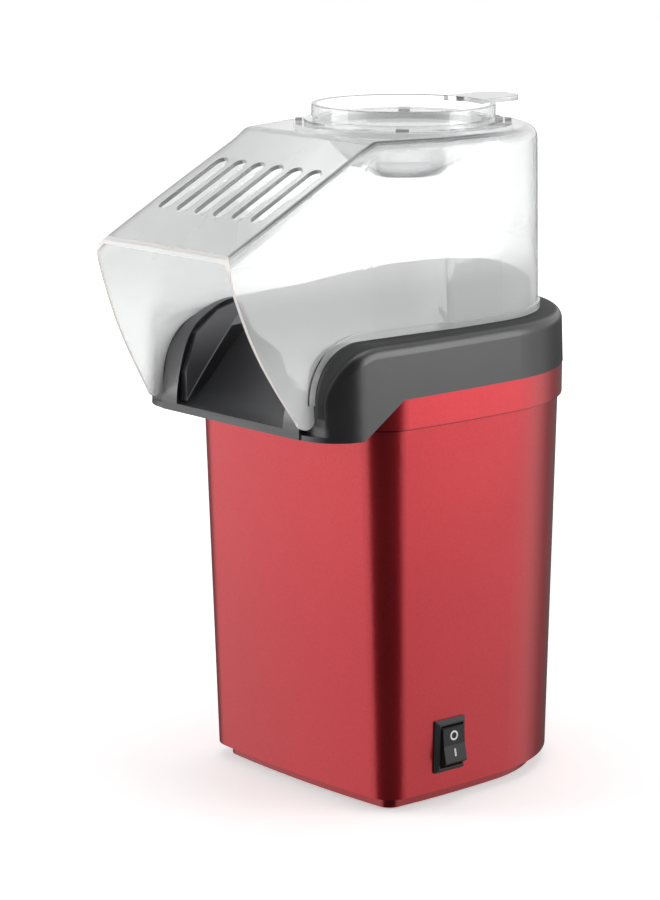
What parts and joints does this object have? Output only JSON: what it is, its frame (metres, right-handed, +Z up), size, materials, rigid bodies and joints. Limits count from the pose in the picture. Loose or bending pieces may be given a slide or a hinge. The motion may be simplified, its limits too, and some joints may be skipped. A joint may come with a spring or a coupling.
{
  "type": "popcorn maker",
  "caption": "Hot-air popcorn maker: red column with fan and heater, black chute deck, clear lift-off hood, lift-out measuring cup and a rocker switch.",
  "frame": {"origin": "centre of the whole machine's footprint box, on the surface its feet stand on", "axes": "+Z up, -Y toward the mouth of the hood, +X toward the side with the switch"},
  "size_m": [0.1204, 0.1858, 0.2628],
  "materials": {
    "red_lacquer": "metallic red lacquer over moulded plastic",
    "red_base": "red moulded plastic",
    "black_plastic": "satin black heat-resistant plastic",
    "dark_plastic": "plain dark moulded plastic",
    "switch_black": "semi-gloss black plastic",
    "clear_plastic": "clear moulded plastic",
    "foot_rubber": "matte rubber",
    "zinc_steel": "zinc plated",
    "sheet_steel": "bright sheet steel",
    "lamination": "dull laminated steel",
    "chamber_aluminium": "drawn, satin",
    "nichrome": "drawn resistance wire",
    "brass": "stamped",
    "ferrite": "sintered, matte",
    "mica": "mica sheet",
    "circuit_board": "green laminate",
    "phenolic": "phenolic moulding"
  },
  "bodies": {
    "frame": {"housing": "red_lacquer", "base_cover": "red_base", "base_screws": "zinc_steel", "feet": "foot_rubber", "cord_gland": "black_plastic", "deck": "black_plastic", "deck_screws": "zinc_steel", "popping_chamber": "chamber_aluminium", "heat_sleeve": "sheet_steel", "fan_shroud": "dark_plastic", "motor_can": "zinc_steel", "motor_cap": "dark_plastic", "motor_magnets": "ferrite", "motor_screws": "zinc_steel", "rectifier_board": "circuit_board", "diodes": "dark_plastic", "heater_boards": "mica", "heating_coil": "nichrome", "thermal_fuse": "sheet_steel", "thermostat": "phenolic", "switch_frame": "switch_black", "switch_terminals": "brass"},
    "hood": {"hood": "clear_plastic"},
    "cup": {"measuring_cup": "clear_plastic"},
    "rocker": {"switch_rocker": "switch_black"},
    "rotor": {"motor_shaft": "zinc_steel", "armature": "lamination", "fan": "sheet_steel"}
  },
  "joints": [
    {"name": "hood_lift", "type": "slide", "parent": "frame", "child": "hood", "axis": [0, 0, 1], "range_m": [0, 0.06]},
    {"name": "cup_lift", "type": "slide", "parent": "hood", "child": "cup", "axis": [0, 0, 1], "range_m": [0, 0.04]},
    {"name": "rocker_tilt", "type": "hinge", "parent": "frame", "child": "rocker", "pos_m": [0.05397, 0.00071, 0.02341], "axis": [0.0794, 0.9968, 0], "range_deg": [0, 18]},
    {"name": "rotor_spin", "type": "hinge", "parent": "frame", "child": "rotor", "pos_m": [0, 0.02825, 0.07], "axis": [0, 0, 1], "continuous": true}
  ]
}
